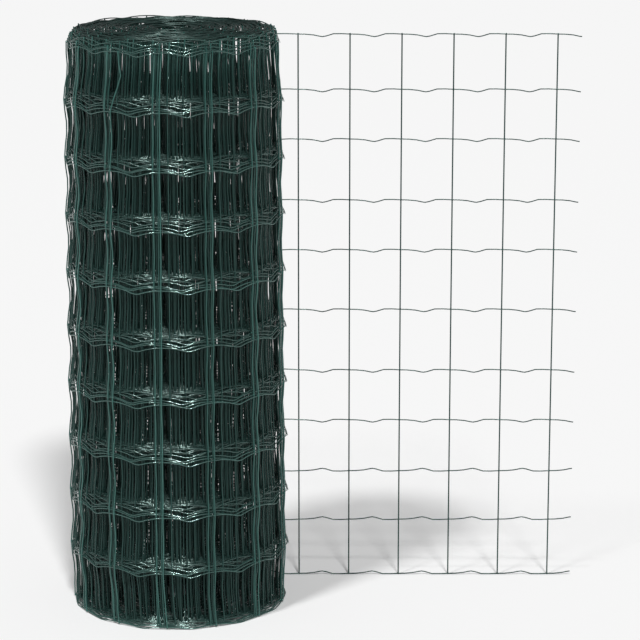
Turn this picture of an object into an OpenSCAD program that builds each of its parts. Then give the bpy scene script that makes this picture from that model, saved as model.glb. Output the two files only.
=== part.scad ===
// Roll of coated, welded wire fencing that stands on its end, with its outer end pulled out straight.
// Millimetres, +Z up. The origin is on the roll's axis at the floor, and the loose end runs along +X.

/* [Fencing] */
// Length of the picket wires, which is the height of the fencing
fence_h = 1000; // [600:1:2000]
// Distance from the end of a picket wire to the nearest line wire
overhang = 2; // [1.5:0.5:10]
// Width of a mesh cell, from picket wire to picket wire
cell_w = 91.5; // [50:0.5:150]
// Thickness of a picket wire over its coating
picket_d = 2.5; // [1.6:0.1:4]
// Thickness of a line wire over its coating
line_d = 2; // [1.4:0.1:3]
// How far a picket wire sinks into each line wire at the weld
weld_bite = 0.4; // [0.2:0.1:0.8]

/* [Crimp] */
// Depth of the crimp halfway between two picket wires
crimp_depth = 4.5; // [2:0.5:10]
// Number of line wires, from the foot up, whose crimps point upwards in the loose end
crimped_up = 3; // [0:1:11]

/* [Roll] */
// Diameter of the roll at half its height
roll_d = 384; // [280:1:600]
// How much wider the roll is at its foot than at its top
roll_flare = 12; // [0:1:40]
// How far the wall draws in at its foot and at its top
end_draw = 6; // [0:1:12]
// Diameter of the hole through the roll
bore_d = 66; // [40:1:120]
// Nominal distance from one turn to the next
turn_pitch = 2.5; // [2:0.1:12]
// How far the wall draws in between two line wires
waist = 5; // [1:0.5:8]
// Depth of the groove between two turns on the ends
turn_groove = 6; // [2:0.5:12]
// How far the inner turns stand above the outermost one
telescope = 24; // [0:1:40]
// Number of outer turns over which the top steps up
slipped_turns = 6; // [1:1:10]

/* [Loose end] */
// Number of picket wires in the loose end
tail_pickets = 6; // [2:1:20]
// Distance of the loose end behind the roll's axis
tail_y = 112; // [0:1:130]
// Radius of the bend where the loose end leaves the roll
bend_r = 70; // [20:1:120]
// Distance from the end of the widest bend to the first picket wire of the loose end
lead = 21; // [3:1:40]
// Length of the line wires past the last picket wire
stub = 42; // [10:1:60]
// Gap between the roll's wall and the line wires that leave it
seat_gap = 0.2; // [0.1:0.1:0.5]

/* [Hidden] */
// How far each line wire of the loose end stands above its even place, from the foot up, in row pitches
row_drift = [0, 0.05, -0.02, -0.05, -0.11, 0.02, 0.12, 0.03, 0.13, 0.02, 0];
// One crimp, as shares of the cell's width along the wire and of the crimp's depth
crimp_shape = [[0, 0], [0.2, -0.12], [0.47, -1], [0.71, 0.2], [0.88, 0.15]];
// Last stretch of a line wire, cut at the crimp, as shares of its own length and of the crimp's depth
stub_shape = [[0, 0], [0.45, -0.12], [1, -1]];
// Width of a turn's flat edge on the ends, as a share of the turn pitch
crest_share = 0.5;
// Points on the wall's profile from one line wire to the next
wall_steps = 6;
picket_sides = 8;
round_sides = 180;

line_wires = len(row_drift);
row_pitch = (fence_h - 2 * overhang) / (line_wires - 1);
bore_r = bore_d / 2;
crest_w = crest_share * turn_pitch;
top_r = (roll_d - roll_flare / 2) / 2;
foot_r = (roll_d + roll_flare / 2) / 2;
turn_gaps = floor((cone_r(fence_h) - bore_r - crest_w) / turn_pitch);
coating = [0.13, 0.27, 0.23];

// Height of a line wire in the roll, and in the loose end
function row_z(row) = overhang + row * row_pitch;
function tail_z(row) = row_z(row) + row_drift[row] * row_pitch;

// How near a height is to an end of the roll, from 0 at the second line wire to 1 at the end
function end_share(z) = max(0, 1 - min(z, fence_h - z) / row_pitch);

// Radius of the roll's wall over its line wires, and with the draw-in between two line wires
function cone_r(z) = foot_r + (top_r - foot_r) * z / fence_h - end_draw * pow(end_share(z), 2);
function wall_r(z) = cone_r(z) - waist * (1 - cos(360 * (z - overhang) / row_pitch)) / 2;

// Rise of a turn's upper edge over the outermost turn's, with turn 0 outermost
function turn_rise(turn) = telescope * min(1, turn / slipped_turns);

// Radius at the middle of a turn's edge, on an end of the roll whose outer radius is end_r
function turn_r(turn, end_r) = end_r - crest_w / 2 - turn * (end_r - bore_r - crest_w) / turn_gaps;

// Profile of one end from its rim to the bore: flat turn edges with grooves between them
function end_profile(end_r, edge_z, rise, groove) = [
    for (turn = [0:turn_gaps])
        let (r = turn_r(turn, end_r), z = edge_z + rise * turn_rise(turn))
        each concat(
            [[r + crest_w / 2, z], [r - crest_w / 2, z]],
            turn < turn_gaps ? [[(r + turn_r(turn + 1, end_r)) / 2, z - groove]] : [])
];

// Profile of the wall above the foot's rim and below the top's, waisted between line wires
function wall_profile() = [
    for (step = [0:(line_wires - 1) * wall_steps])
        let (z = overhang + step * row_pitch / wall_steps)
        [wall_r(z), z]
];

function reversed(list) = [for (i = [len(list) - 1:-1:0]) list[i]];

// All the wound turns as one turned solid, with the hole through the middle
module wound_roll() {
    color(coating)
        rotate_extrude($fn = round_sides)
            polygon(concat(
                reversed(end_profile(cone_r(0), 0, 0, -turn_groove)),
                wall_profile(),
                end_profile(cone_r(fence_h), fence_h, 1, turn_groove)));
}

// Where a line wire leaves the wall: the radius of its middle there, and the angle from +X
function leave_r(row) = let (z = tail_z(row), half = line_d / 2)
    max(cone_r(z - half), cone_r(z + half)) + seat_gap + half;
function leave_angle(row) = asin((tail_y + bend_r) / (leave_r(row) + bend_r));
function straight_x(row) = (leave_r(row) + bend_r) * cos(leave_angle(row));
function first_x() = max([for (row = [0:line_wires - 1]) straight_x(row)]) + lead;
function picket_x(index) = first_x() + index * cell_w;

// Middle of a line wire's straight stretch: a crimp between each two picket wires, then the stub
function crimped_path(row) = let (up = row < crimped_up ? -1 : 1) concat(
    [[straight_x(row), 0]],
    [for (cell = [0:tail_pickets - 2], point = crimp_shape)
        [picket_x(cell) + point[0] * cell_w, up * point[1] * crimp_depth]],
    [for (point = stub_shape)
        [picket_x(tail_pickets - 1) + point[0] * stub, up * point[1] * crimp_depth]]);

function ribbon(path, width) = concat(
    [for (point = path) point + [0, width / 2]],
    reversed([for (point = path) point - [0, width / 2]]));

module tail_line_wire(row) {
    translate([0, tail_y + line_d / 2, tail_z(row)])
        rotate([90, 0, 0])
            linear_extrude(line_d)
                polygon(ribbon(crimped_path(row), line_d));
    translate([straight_x(row), tail_y + bend_r, tail_z(row)])
        rotate([0, 0, 270])
            mirror([0, 1, 0])
                rotate_extrude(angle = 90 - leave_angle(row), $fn = round_sides)
                    translate([bend_r, 0])
                        square(line_d, center = true);
}

module tail_picket(index) {
    translate([
        picket_x(index),
        tail_y + (line_d + picket_d) / 2 - weld_bite,
        0])
        cylinder(d = picket_d, h = fence_h, $fn = picket_sides);
}

// The stretch pulled out of the roll: line wires and picket wires, fused at every crossing
module loose_end() {
    color(coating) {
        for (row = [0:line_wires - 1]) tail_line_wire(row);
        for (index = [0:tail_pickets - 1]) tail_picket(index);
    }
}

wound_roll();
loose_end();
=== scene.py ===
"""The looks of a roll of coated wire fencing: every line wire and picket wire of the one wound sheet."""

import math

import bpy
import numpy as np
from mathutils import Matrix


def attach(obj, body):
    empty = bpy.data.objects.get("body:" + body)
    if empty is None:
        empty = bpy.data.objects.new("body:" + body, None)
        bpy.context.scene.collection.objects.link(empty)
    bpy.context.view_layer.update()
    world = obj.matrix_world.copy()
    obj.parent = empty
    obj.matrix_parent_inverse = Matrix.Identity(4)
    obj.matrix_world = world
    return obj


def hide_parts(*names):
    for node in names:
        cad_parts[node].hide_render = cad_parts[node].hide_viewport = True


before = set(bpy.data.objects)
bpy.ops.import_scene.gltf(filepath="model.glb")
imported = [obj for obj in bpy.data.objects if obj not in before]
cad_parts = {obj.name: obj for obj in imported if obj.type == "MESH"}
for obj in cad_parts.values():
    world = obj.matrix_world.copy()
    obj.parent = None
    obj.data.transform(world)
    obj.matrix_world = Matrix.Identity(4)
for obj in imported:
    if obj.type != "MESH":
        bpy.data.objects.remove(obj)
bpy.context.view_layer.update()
MM = 0.001
SEED = 20
rng = np.random.default_rng(SEED)

# Sizes of the fencing, as in the part's source, in metres.
FENCE_H = 1.0
OVERHANG = 2 * MM
ROWS = 11
ROW_PITCH = (FENCE_H - 2 * OVERHANG) / (ROWS - 1)
PICKET_D = 2.5 * MM
LINE_D = 2.0 * MM
WELD_BITE = 0.4 * MM
CRIMP_DEPTH = 4.5 * MM
CRIMPED_UP = 3
FOOT_R = 195 * MM
TOP_R = 189 * MM
END_DRAW = 6 * MM
BORE_R = 33 * MM
WAIST = 5 * MM
TELESCOPE = 24 * MM
TAIL_Y = 112 * MM
BEND_R = 70 * MM
TAIL_PICKETS = 6
TAIL_CELL = 91.5 * MM
TAIL_START = 214.4 * MM
STUB = 42 * MM
ROW_DRIFT = np.array([0, 0.05, -0.02, -0.05, -0.11, 0.02, 0.12, 0.03, 0.13, 0.02, 0]) * ROW_PITCH

# Sizes that only the wound mesh has. The outer turns lie closest, and the roll stands on its lowest crimps,
# which it presses flatter.
ROLL_CELL = 89.5 * MM
CELLS_A_TURN = 13
OUTER_TURNS = 28
OUTER_PITCH = 1.4 * MM
INNER_PITCH = 3.55 * MM
ROLL_CRIMP = 7 * MM
FOOT_CRIMP = 3 * MM
ROLL_LIFT = FOOT_CRIMP + LINE_D / 2 - OVERHANG
LOOSE_TURN = 0.7 * MM
BULGE = 0.028
PICKET_OUT = (LINE_D + PICKET_D) / 2 - WELD_BITE
LINE_INSET = PICKET_OUT + PICKET_D / 2
PICKET_END = 1.1 * MM

# One crimp: shares of the cell along the wire, and of the crimp's depth, pulled straight and in the roll.
CRIMP_AT = np.array([0, 0.14, 0.3, 0.42, 0.47, 0.54, 0.68, 0.84])
CRIMP_Z = np.array([0, -0.05, -0.35, -0.86, -1.0, -0.75, 0.12, 0.16])
ROLL_CRIMP_Z = np.array([0, -0.07, -0.45, -0.92, -1.0, -0.92, -0.38, -0.04])
CRIMP_APEX = 0.47

# Where one state of the sheet passes into another: where that starts, and over how much. The first six are
# counted in turns in from where the sheet leaves the roll, the next three in metres along the sheet from
# there, and the last two in metres above the foot and below the top.
SPIRAL_FROM = (0.6, 0.5)
BULGE_FROM = (0.5, 0.3)
UNEVEN_FROM = (0.6, 1.5)
SAG_FROM = (4, 4)
PRESSED_FROM = (2, 6)
# Painted shade inside the roll grows from here, in turns in.
PAINTED_SHADE_FROM = (0.9, 5)
UNWINDS = (-0.12, 0.18)
COMES_DOWN = (-0.3, 0.4)
CRIMPS_TURN_UP = (-0.02, 0.06)
FOOT_ZONE = (0, 2 * ROW_PITCH)
# Painted shade inside the roll fades out below the top over this.
PAINTED_SHADE_BELOW_TOP = (5 * MM, 70 * MM)

LINE_SIDES = 6
PICKET_SIDES = 6
PICKET_STEPS = 5
TURN_STEPS = 40000


def row_z(row):
    """Height of a line wire on the sheet."""
    return OVERHANG + row * ROW_PITCH


def ramp(value, start, width):
    """0 up to start and 1 from start + width on, with a smooth rise between them."""
    t = np.clip((value - start) / width, 0, 1)
    return t * t * (3 - 2 * t)


# The waves of a smooth random function, as shares of its wavelength and its amplitude.
NOISE_LENGTHS = np.array([1.0, 0.61, 0.37])
NOISE_SIZES = np.array([0.6, 0.4, 0.25])


def make_noise(wavelength, amplitude):
    """A smooth random function of the distance along the sheet."""
    lengths = wavelength * NOISE_LENGTHS
    sizes = amplitude * NOISE_SIZES
    phases = rng.uniform(0, 2 * math.pi, len(lengths))

    def noise(s):
        s = np.asarray(s, float)
        return sum(a * np.sin(2 * math.pi * s / w + p) for w, a, p in zip(lengths, sizes, phases))
    return noise


# The sheet's path in plan. s is the distance along it: 0 where it leaves the roll, more along the loose end
# and less in the wound turns.
def line_r(h):
    """Radius of the outermost turn's line wire at a height on the sheet: drawn in at both ends."""
    near_end = np.clip(1 - np.minimum(h, FENCE_H - h) / ROW_PITCH, 0, 1)
    return FOOT_R + (TOP_R - FOOT_R) * h / FENCE_H - END_DRAW * near_end ** 2 - LINE_INSET


MID_R = line_r(FENCE_H / 2)
LEAVE = math.asin((TAIL_Y + BEND_R) / (MID_R + BEND_R))
BEND_LEN = BEND_R * (math.pi / 2 - LEAVE)
BEND_END_X = (MID_R + BEND_R) * math.cos(LEAVE)
FIRST_TAIL_S = BEND_LEN + TAIL_START - BEND_END_X
OUTER_DEPTH = LOOSE_TURN + OUTER_PITCH * OUTER_TURNS
MOST_TURNS = OUTER_TURNS + (MID_R - OUTER_DEPTH - BORE_R - LINE_D / 2) / INNER_PITCH


def turn_radius(turns):
    """Radius at so many turns in from the leaving point: one loose, round turn and the spiral under it."""
    turns = np.asarray(turns, float)
    spiral = LOOSE_TURN + OUTER_PITCH * turns
    spiral = spiral + (INNER_PITCH - OUTER_PITCH) * np.maximum(turns - OUTER_TURNS, 0)
    return MID_R - spiral * ramp(turns, *SPIRAL_FROM)


turn_grid = np.linspace(0, MOST_TURNS, TURN_STEPS)
wound_length = np.concatenate([[0], np.cumsum(
    2 * math.pi * turn_radius((turn_grid[1:] + turn_grid[:-1]) / 2) * np.diff(turn_grid))])


def turns_in(s):
    """How many turns in from the leaving point the sheet is at a distance s."""
    return np.interp(-np.asarray(s, float), wound_length, turn_grid)


def plan(s, h):
    """Points of the sheet in plan and their outward normals, at distances s and heights h on the sheet.

    The roll bulges a little on the side where the sheet leaves it.
    """
    s = np.asarray(s, float)
    outer = line_r(np.broadcast_to(np.asarray(h, float), s.shape))
    leave = np.arcsin((TAIL_Y + BEND_R) / (outer + BEND_R))
    end_x = (outer + BEND_R) * np.cos(leave)
    k = turns_in(s)
    angle = leave + 2 * math.pi * k
    bulge = BULGE * np.maximum(np.cos(angle), 0) ** 2 * ramp(k, *BULGE_FROM)
    r = turn_radius(k) * outer / MID_R * (1 + bulge)
    wound = np.stack([r * np.cos(angle), r * np.sin(angle)], -1)
    wound_n = np.stack([np.cos(angle), np.sin(angle)], -1)
    swing = np.clip(s / BEND_LEN, 0, 1)
    at = math.pi + leave + swing * (math.pi / 2 - leave)
    bend = np.stack([end_x + BEND_R * np.cos(at), TAIL_Y + BEND_R + BEND_R * np.sin(at)], -1)
    bend_n = np.stack([-np.cos(at), -np.sin(at)], -1)
    along = end_x + (TAIL_START - end_x) * (s - BEND_LEN) / (FIRST_TAIL_S - BEND_LEN)
    along = np.where(s > FIRST_TAIL_S, TAIL_START + s - FIRST_TAIL_S, along)
    flat = np.stack([along, np.full_like(along, TAIL_Y)], -1)
    flat_n = np.stack([np.zeros_like(along), np.ones_like(along)], -1)
    in_roll = (s < 0)[..., None]
    in_bend = (s < BEND_LEN)[..., None]
    points = np.where(in_roll, wound, np.where(in_bend, bend, flat))
    normals = np.where(in_roll, wound_n, np.where(in_bend, bend_n, flat_n))
    return points, normals


# Where the picket wires cross, from the inner end of the sheet to its outer end: even cells up to the picket
# wire that stands at the front, then FRONT_CELLS cells to the first picket wire of the loose end.
FRONT = 270
LEFT_OF_FRONT = 4.4
FRONT_PICKET = math.radians(FRONT - LEFT_OF_FRONT)
FRONT_CELLS = 9
front_s = -np.interp((FRONT_PICKET - LEAVE) / (2 * math.pi), turn_grid, wound_length)
inner_s = np.arange(front_s, -wound_length[-1], -ROLL_CELL)[::-1]
outer_s = np.linspace(front_s, FIRST_TAIL_S, FRONT_CELLS + 1)
tail_s = FIRST_TAIL_S + TAIL_CELL * np.arange(TAIL_PICKETS)
picket_s = np.concatenate([inner_s, outer_s[1:-1], tail_s])

sheet_lift = make_noise(wavelength=1.3, amplitude=1.5 * MM)
sheet_sag = make_noise(wavelength=2.3, amplitude=0.5)
sheet_out = make_noise(wavelength=0.42, amplitude=0.8 * MM)
row_wander = [make_noise(wavelength=0.55, amplitude=1.3 * MM) for _ in range(ROWS)]


def roll_share(s):
    """1 in the wound turns, falling to 0 where the loose end is straight."""
    return 1 - ramp(np.asarray(s, float), *UNWINDS)


DRIFT_DELAY = 0.03


def row_drift(row, s):
    """How far a line wire lies off its even height in the loose end."""
    return ROW_DRIFT[row] * (1 - roll_share(s - DRIFT_DELAY))


# How far each turn stands above the outermost one, as shares of the most, at so many turns in. In places the
# turns sag by up to SAG, and near the floor they are pushed up only by FOOT_SHARE of the rest.
LIFT_TURNS = [0.55, 5, 8]
LIFT_SHARES = [0, 0.75, 1]
SAG = 5 * MM
SAG_SHIFT = 0.5
FOOT_SHARE = 0.3


def lift(s, h):
    """How far the sheet is pushed up: the roll stands on its crimps, its inner turns above the outermost."""
    k = turns_in(s)
    stand = ROLL_LIFT * (1 - ramp(np.asarray(s, float), *COMES_DOWN))
    rise = TELESCOPE * np.interp(k, LIFT_TURNS, LIFT_SHARES) + sheet_lift(s) * ramp(k, *UNEVEN_FROM)
    rise = rise - SAG * np.clip(sheet_sag(s) + SAG_SHIFT, 0, 1) * ramp(k, *SAG_FROM)
    return stand + rise * (FOOT_SHARE + (1 - FOOT_SHARE) * ramp(h, *FOOT_ZONE))


# The corners at the crimps: their share of a polygon's, the most they stand out, the widest half angle of a
# cell, and the share by which the wire between them stands in.
CORNER_SHARE = 0.5
CORNER_MOST = 1.8 * MM
CORNER_WIDEST = 0.5
CORNER_IN = 0.4


def corner(s, share):
    """How far a line wire stands out or in, because it bends mostly at its crimps."""
    r = np.maximum(turn_radius(turns_in(s)), BORE_R)
    half = np.minimum(ROLL_CELL / 2 / r, CORNER_WIDEST)
    size = np.minimum(CORNER_SHARE * r * (1 / np.cos(half) - 1), CORNER_MOST) * roll_share(s)
    u = np.where(share < CRIMP_APEX, share / CRIMP_APEX, (1 - share) / (1 - CRIMP_APEX))
    return size * (u * u - CORNER_IN)


# Painted shade along the loose end, at this share of the most.
TAIL_PAINTED_SHADE = 0.9


def painted_shade(s, h):
    """How much painted shade a wire gets, which also makes it duller: 0 on the outside and the upper end of
    the roll, more inside the roll and along the loose end."""
    inside = ramp(turns_in(s), *PAINTED_SHADE_FROM) * ramp(FENCE_H - h, *PAINTED_SHADE_BELOW_TOP)
    return inside + TAIL_PAINTED_SHADE * (1 - roll_share(s))


def pressed(row, s):
    """How far a line wire's crimps are pressed flat: all along the foot and on top of the inner turns."""
    if row == 0:
        return np.ones_like(s)
    return ramp(turns_in(s), *PRESSED_FROM) if row == ROWS - 1 else np.zeros_like(s)


def line_path(row):
    """Middle of one line wire from its inner cut end to its outer one, and its painted shade at each point.
    """
    starts = picket_s[:-1]
    widths = np.diff(picket_s)
    s = (starts[:, None] + widths[:, None] * CRIMP_AT).ravel()
    share = np.tile(CRIMP_AT, len(starts))
    lead = CRIMP_AT[CRIMP_AT >= CRIMP_APEX]
    end = CRIMP_AT[CRIMP_AT <= CRIMP_APEX]
    s = np.concatenate([
        picket_s[0] - ROLL_CELL * (1 - lead), s, picket_s[-1] + STUB * end / CRIMP_APEX])
    share = np.concatenate([lead, share, end])
    wound = roll_share(s)
    turned = 1 - 2 * ramp(s, *CRIMPS_TURN_UP) if row < CRIMPED_UP else 1
    deep = ROLL_CRIMP - (ROLL_CRIMP - FOOT_CRIMP) * pressed(row, s)
    dip = deep * wound * np.interp(share, CRIMP_AT, ROLL_CRIMP_Z)
    dip = dip + CRIMP_DEPTH * (1 - wound) * np.interp(share, CRIMP_AT, CRIMP_Z)
    z = row_z(row) + lift(s, row_z(row)) + row_wander[row](s) * wound
    z = np.maximum(z + dip * turned + row_drift(row, s), LINE_D / 2)
    flat, normal = plan(s, row_z(row))
    flat = flat + normal * (corner(s, share) + sheet_out(s) * wound)[:, None]
    return np.concatenate([flat, z[:, None]], 1), painted_shade(s, row_z(row))


STIFF_SIDE = 0.5
TINY = 1e-9


def picket_path(index, bows, sway_at, sways):
    """Middle of one picket wire from its foot to its top, its outward normals and its painted shade at each
    point.

    In each cell it bows inward by WAIST and bows, WAIST being less by STIFF_SIDE on the loose end's side. It
    stands aside by sways at the heights sway_at.
    """
    s = picket_s[index]
    share = roll_share(s)
    steps = np.arange((ROWS - 1) * PICKET_STEPS + 1)
    z = row_z(0) + steps * ROW_PITCH / PICKET_STEPS
    z = np.concatenate([[z[0] - PICKET_END], z, [z[-1] + PICKET_END]])
    cell = np.clip((z - row_z(0)) / ROW_PITCH, 0, ROWS - 1 - TINY)
    number = cell.astype(int)
    part = cell - number
    bell = np.sin(math.pi * part) ** 2
    flat, normal = plan(np.full_like(z, s), z)
    size = min(turn_radius(turns_in(s)) / MID_R, 1)
    out = PICKET_OUT + corner(s, 0.0) + sheet_out(s) * share
    drawn = WAIST * size * (1 - STIFF_SIDE * np.maximum(normal[:, 0], 0) ** 2)
    out = out - share * bell * (drawn + bows[number])
    tangent = np.stack([-normal[:, 1], normal[:, 0]], -1)
    flat = flat + normal * out[:, None] + tangent * np.interp(z, sway_at, sways)[:, None]
    return np.concatenate([flat, (z + lift(s, z))[:, None]], 1), normal, painted_shade(s, z)


def band_faces(rings, sides):
    """Faces of the bands between so many rings of corners, one ring after another."""
    first = (np.arange(rings - 1) * sides)[:, None]
    here = np.arange(sides)
    after = (here + 1) % sides
    faces = np.stack([first + here, first + after, first + sides + after, first + sides + here], -1)
    return faces.reshape(-1, 4)


# A bead of one unit: rings of corners, open at its poles, which lie in the picket wire.
BEAD_SIDES = 8
BEAD_TILTS = np.radians([-80, -40, 0, 40, 80])
bead_turn = np.arange(BEAD_SIDES) * 2 * math.pi / BEAD_SIDES
BEAD_VERTS = np.concatenate([
    np.stack([math.cos(tilt) * np.cos(bead_turn), math.cos(tilt) * np.sin(bead_turn),
              np.full(BEAD_SIDES, math.sin(tilt))], -1) for tilt in BEAD_TILTS])
BEAD_FACES = band_faces(len(BEAD_TILTS), BEAD_SIDES)

# Places in the list of wire materials, and the steel core's share of a wire's diameter.
GLOSSY, STEEL, MATT, SATIN_PAINTED_SHADE = range(4)
CORE_SHARE = 0.82


class Wires:
    """Collects round wires into one mesh."""

    def __init__(self):
        self.verts = []
        self.faces = []
        self.slots = []
        self.tints = []
        self.painted_shades = []
        self.count = 0

    def add(self, verts, faces, slot, tint, painted_shades=0.0):
        """Adds corners and faces. There can be a slot for each face, and a painted shade for each corner."""
        self.verts.append(verts)
        self.faces.append(faces + self.count)
        self.slots.append(np.broadcast_to(slot, len(faces)))
        self.tints.append(np.full(len(verts), tint))
        self.painted_shades.append(np.broadcast_to(painted_shades, len(verts)))
        self.count += len(verts)

    def tube(self, path, side, diameter, sides, tint, painted_shades, slots):
        """A wire along path with a material at each point; side is a vector there, not along the wire."""
        ahead = np.gradient(path, axis=0)
        ahead /= np.linalg.norm(ahead, axis=1)[:, None]
        across = np.cross(ahead, side)
        across /= np.linalg.norm(across, axis=1)[:, None]
        up = np.cross(across, ahead)
        turn = np.arange(sides) * 2 * math.pi / sides
        ring = across[:, None] * np.cos(turn)[:, None] + up[:, None] * np.sin(turn)[:, None]
        verts = path[:, None] + ring * diameter / 2
        faces = band_faces(len(path), sides)
        self.add(verts.reshape(-1, 3), faces, np.repeat(slots[:-1], sides), tint, np.repeat(painted_shades, sides))
        for end, flip in ((0, True), (-1, False)):
            self.cut_end(path[end], ring[end] * diameter / 2, flip, tint)

    def bead(self, middle, radius, tint, painted_shades):
        """A small lump of coating at a weld."""
        self.add(middle + BEAD_VERTS * radius, BEAD_FACES, MATT, tint, painted_shades)

    def cut_end(self, middle, ring, flip, tint):
        """The flat cut end of a wire, with the steel core inside the coating."""
        sides = len(ring)
        here = np.arange(sides)
        after = (here + 1) % sides
        core = middle + ring * CORE_SHARE
        rim = band_faces(2, sides)
        disc = np.stack([here, after, np.full(sides, sides), here], -1)
        if flip:
            rim, disc = rim[:, ::-1], disc[:, ::-1]
        self.add(np.concatenate([middle + ring, core]), rim, GLOSSY, tint)
        self.add(np.concatenate([core, middle[None]]), disc, STEEL, tint)

    def build(self, name, materials):
        """Makes the mesh and hands it in as a piece. A face that names a corner twice is a triangle."""
        mesh = bpy.data.meshes.new(name)
        faces = [list(dict.fromkeys(face)) for face in np.concatenate(self.faces).tolist()]
        mesh.from_pydata(np.concatenate(self.verts).tolist(), [], faces)
        slots = np.concatenate(self.slots)
        mesh.polygons.foreach_set("material_index", slots.astype("int32"))
        mesh.polygons.foreach_set("use_smooth", slots != STEEL)
        # Each wire's own tone, and its painted shade.
        for label, values in (("tint", self.tints), ("painted_shade", self.painted_shades)):
            attribute = mesh.attributes.new(label, "FLOAT", "POINT")
            attribute.data.foreach_set("value", np.concatenate(values).astype("float32"))
        for material in materials:
            mesh.materials.append(material)
        mesh.update()
        piece = bpy.data.objects.new(name, mesh)
        bpy.context.scene.collection.objects.link(piece)
        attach(piece, "root")
        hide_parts("wound_roll", "loose_end")


def new_material(name):
    """A material with its node tree and its shader."""
    material = bpy.data.materials.new(name)
    material.use_nodes = True
    return material, material.node_tree, material.node_tree.nodes["Principled BSDF"]


def add_noise(tree, where, scale, detail):
    """A noise texture in the part's own frame."""
    noise = tree.nodes.new("ShaderNodeTexNoise")
    noise.inputs["Scale"].default_value = scale
    noise.inputs["Detail"].default_value = detail
    tree.links.new(where.outputs["Object"], noise.inputs["Vector"])
    return noise.outputs["Fac"]


def add_attribute(tree, name):
    """A value that the mesh carries at each corner."""
    attribute = tree.nodes.new("ShaderNodeAttribute")
    attribute.attribute_name = name
    return attribute.outputs["Fac"]


def add_multiply(tree, value, factor, added=None):
    """A value times a factor, plus another value where one is given."""
    product = tree.nodes.new("ShaderNodeMath")
    product.operation = "MULTIPLY" if added is None else "MULTIPLY_ADD"
    product.inputs[1].default_value = factor
    tree.links.new(value, product.inputs[0])
    if added is not None:
        tree.links.new(added, product.inputs[2])
    return product.outputs[0]


def add_colours(tree, value, *stops):
    """Colours between two stops, each a value and its colour."""
    colours = tree.nodes.new("ShaderNodeValToRGB")
    for element, (position, colour) in zip(colours.color_ramp.elements, stops):
        element.position = position
        element.color = colour
    tree.links.new(value, colours.inputs["Fac"])
    return colours.outputs["Color"]


# The coating: the dark green of its painted shade, the tint of its gloss, the shares of its patches and of
# each wire's tint between the dark and the pale green, and what scuffs and painted shade add to its
# roughness.
PAINTED_SHADE_GREEN = (0.013, 0.036, 0.032, 1)
GLOSS_TINT = (0.72, 1, 0.93, 1)
PATCH_SHARE = 0.6
TINT_SHARE = 0.5
DARK_AT = 0.2
PALE_AT = 0.85
SCUFF_ROUGH = 0.1
PAINTED_SHADE_ROUGH = 0.1


def coated_wire(name, specular, index, rough, dark, pale):
    """Dark green plastic coating with paler and darker patches and fine scuffs.

    Painted shade makes it darker, and rougher, where the mesh carries more of it.
    """
    material, tree, shader = new_material(name)
    where = tree.nodes.new("ShaderNodeTexCoord")
    patches = add_noise(tree, where, scale=35, detail=4)
    scuffs = add_noise(tree, where, scale=420, detail=3)
    painted_shades = add_attribute(tree, "painted_shade")
    tint = add_multiply(tree, add_attribute(tree, "tint"), TINT_SHARE)
    patched = add_multiply(tree, patches, PATCH_SHARE, tint)
    green = add_colours(tree, patched, (DARK_AT, dark), (PALE_AT, pale))
    # Painted shade: the green is mixed towards the darkest one as far as the mesh's painted shade goes.
    mix = tree.nodes.new("ShaderNodeMix")
    mix.data_type = "RGBA"
    tree.links.new(painted_shades, mix.inputs["Factor"])
    tree.links.new(green, mix.inputs["A"])
    mix.inputs["B"].default_value = PAINTED_SHADE_GREEN
    tree.links.new(mix.outputs["Result"], shader.inputs["Base Color"])
    gloss = tree.nodes.new("ShaderNodeMapRange")
    gloss.inputs["To Min"].default_value = rough
    gloss.inputs["To Max"].default_value = rough + SCUFF_ROUGH
    tree.links.new(scuffs, gloss.inputs["Value"])
    roughness = add_multiply(tree, painted_shades, PAINTED_SHADE_ROUGH, gloss.outputs["Result"])
    tree.links.new(roughness, shader.inputs["Roughness"])
    bump = tree.nodes.new("ShaderNodeBump")
    bump.inputs["Strength"].default_value = 0.12
    bump.inputs["Distance"].default_value = 0.2 * MM
    tree.links.new(scuffs, bump.inputs["Height"])
    tree.links.new(bump.outputs["Normal"], shader.inputs["Normal"])
    shader.inputs["Specular IOR Level"].default_value = specular
    shader.inputs["IOR"].default_value = index
    shader.inputs["Specular Tint"].default_value = GLOSS_TINT
    return material


def cut_steel():
    """Bare steel where a wire is cut, dulled in spots."""
    material, tree, shader = new_material("cut_steel")
    spots = add_noise(tree, tree.nodes.new("ShaderNodeTexCoord"), scale=900, detail=2)
    grey = add_colours(tree, spots, (0, (0.12, 0.11, 0.1, 1)), (1, (0.4, 0.4, 0.39, 1)))
    tree.links.new(grey, shader.inputs["Base Color"])
    shader.inputs["Metallic"].default_value = 1.0
    shader.inputs["Roughness"].default_value = 0.45
    return material


# The turns of the upper end that lie within this of the outermost one are glossy like the other line wires;
# the ones further in get a darker, rougher copy of the coating, painted shade.
TOP_GLOSSY = 8 * MM
LINE_TINTS = (0.2, 0.8)


def build_line_wires(materials):
    """Each line wire is a piece: glossy in the roll, matt with painted shade in the loose end, satin with
    painted shade on the upper end.
    """
    for row in range(ROWS):
        wires = Wires()
        path, painted_shades = line_path(row)
        side = np.tile([0.0, 0.0, 1.0], (len(path), 1))
        slots = np.where(path[:, 0] > TAIL_START, MATT, GLOSSY)
        if row == ROWS - 1:
            inner = np.hypot(path[:, 0], path[:, 1]) < line_r(FENCE_H) - TOP_GLOSSY
            slots = np.where(inner, SATIN_PAINTED_SHADE, slots)
        wires.tube(path, side, LINE_D, LINE_SIDES, rng.uniform(*LINE_TINTS), painted_shades, slots)
        wires.build(f"line_wire_{row + 1:02d}", materials)


# How far picket wires bow and sway at random, and how far their feet stray.
BOW_SPREAD = 0.6 * MM
SWAY_SPREAD = 0.25 * MM
FOOT_SPREAD = 1.6 * MM

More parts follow.
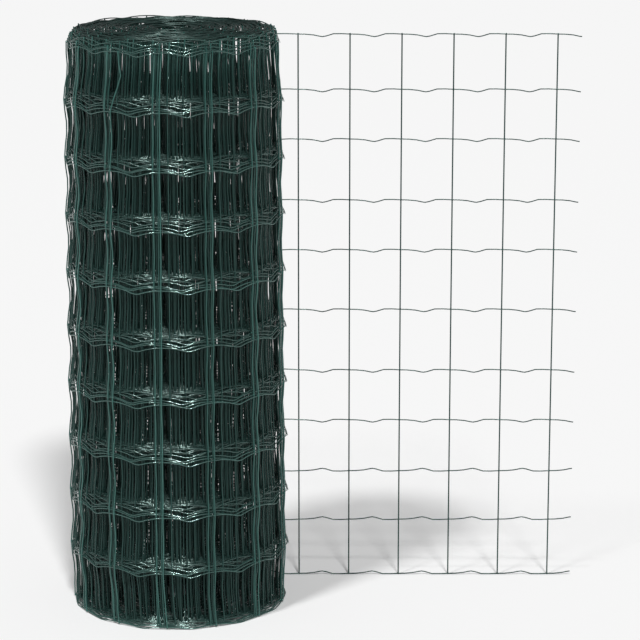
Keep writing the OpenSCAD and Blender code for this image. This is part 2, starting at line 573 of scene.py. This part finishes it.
# The outermost turn's picket wire to the left of the front one is knocked sideways in its top cell.
BENT_CELLS = FRONT_CELLS - 1
BENT_AT = row_z(np.array([8, 9, 9.6, 10]))
BENT_SWAYS = np.array([0, 2, 18, 10.5]) * MM

# Only the loose end and the outer turns, which can be seen, have beads at their welds.
BEADED_CELLS = FRONT_CELLS + 2 * CELLS_A_TURN
BEAD_R = 1.9 * MM
PICKETS_A_GROUP = 48


def build_pickets(materials):
    """The picket wires, in pieces of PICKETS_A_GROUP from the inner end of the sheet on."""
    first_loose = len(picket_s) - TAIL_PICKETS
    row_heights = row_z(np.arange(ROWS))
    for first in range(0, len(picket_s), PICKETS_A_GROUP):
        wires = Wires()
        for index in range(first, min(first + PICKETS_A_GROUP, len(picket_s))):
            share = roll_share(picket_s[index])
            bows = rng.normal(0, BOW_SPREAD, ROWS)
            sway_at, sways = row_heights, rng.normal(0, SWAY_SPREAD, ROWS) * share
            sways[0] += rng.normal(0, FOOT_SPREAD) * share
            tint = rng.uniform(0, 1)
            if first_loose - index == BENT_CELLS:
                sway_at, sways = BENT_AT, BENT_SWAYS
            path, normal, painted_shades = picket_path(index, bows, sway_at, sways)
            side = np.concatenate([normal, np.zeros((len(path), 1))], 1)
            wires.tube(path, side, PICKET_D, PICKET_SIDES, tint, painted_shades, np.full(len(path), MATT))
            if first_loose - index < BEADED_CELLS:
                for row in range(ROWS):
                    knot = 1 + row * PICKET_STEPS
                    inward = np.append(normal[knot], 0) * PICKET_OUT / 2
                    upward = [0, 0, row_drift(row, picket_s[index])]
                    wires.bead(path[knot] - inward + upward, BEAD_R, tint, painted_shades[knot])
        wires.build(f"picket_wires_{first // PICKETS_A_GROUP + 1}", materials)


# Each lamp: its name, its direction in degrees to the right of the front and above the floor, its strength.
LAMPS = [("lamp_left", -40, 60, 1.3), ("lamp_right", 10, 47, 1.9)]
LAMP_WIDTH = math.radians(7)
SKY_STRENGTH = 0.17
FLOOR_SIZE = 80
FLOOR_GREY = 0.97


def build_set():
    """Pale floor, faint light all round and two lamps high in front of the roll."""
    bpy.ops.mesh.primitive_plane_add(size=FLOOR_SIZE)
    floor = bpy.context.object
    floor.name = "floor"
    material, _, shader = new_material("floor")
    shader.inputs["Base Color"].default_value = (FLOOR_GREY, FLOOR_GREY, FLOOR_GREY, 1)
    shader.inputs["Roughness"].default_value = 0.9
    shader.inputs["Specular IOR Level"].default_value = 0.1
    floor.data.materials.append(material)
    world = bpy.data.worlds.new("studio")
    bpy.context.scene.world = world
    world.use_nodes = True
    sky = world.node_tree.nodes["Background"]
    sky.inputs["Color"].default_value = (1, 1, 1, 1)
    sky.inputs["Strength"].default_value = SKY_STRENGTH
    for name, side, height, energy in LAMPS:
        light = bpy.data.lights.new(name, "SUN")
        light.energy = energy
        light.angle = LAMP_WIDTH
        lamp = bpy.data.objects.new(name, light)
        lamp.rotation_euler = (math.radians(90 - height), 0, math.radians(side))
        bpy.context.scene.collection.objects.link(lamp)


CAMERA_AT = (0.2530, -4.3, 1.5007)
CAMERA_DOWN = 13.0
CAMERA_LENS = 141.18
SENSOR_WIDTH = 36
FARTHEST = 200


def build_camera():
    """At the photograph's height and angle: it looks along +Y and a little down."""
    lens = bpy.data.cameras.new("camera")
    lens.lens = CAMERA_LENS
    lens.sensor_width = SENSOR_WIDTH
    lens.clip_end = FARTHEST
    camera = bpy.data.objects.new("camera", lens)
    camera.location = CAMERA_AT
    camera.rotation_euler = (math.radians(90 - CAMERA_DOWN), 0, 0)
    bpy.context.scene.collection.objects.link(camera)
    bpy.context.scene.camera = camera


# In the order of the slots: glossy, steel, matt and satin. The three coatings are lit and shaded copies of
# one:
# the line wires' copy is glossier, with a higher IOR, so that its highlights show brighter; the picket
# wires' copy has less gloss and a paler green, which stands in for the brightness that gloss gave; the upper
# end's copy is darker, painted shade.
wire_materials = [
    coated_wire("coated_line_wire", specular=1.0, index=1.7, rough=0.05,
                dark=(0.013, 0.040, 0.035, 1), pale=(0.032, 0.088, 0.077, 1)),
    cut_steel(),
    coated_wire("coated_picket_wire", specular=0.35, index=1.5, rough=0.05,
                dark=(0.020, 0.062, 0.054, 1), pale=(0.046, 0.128, 0.112, 1)),
    # Painted shade: this darker copy of the coating stands for the shade on the inner turns of the upper
    # end.
    coated_wire("coated_end_wire_painted_shade", specular=1.0, index=1.5, rough=0.26,
                dark=(0.007, 0.018, 0.016, 1), pale=(0.018, 0.046, 0.041, 1)),
]
build_line_wires(wire_materials)
build_pickets(wire_materials)
build_set()
build_camera()
bpy.context.scene.view_settings.view_transform = "Standard"
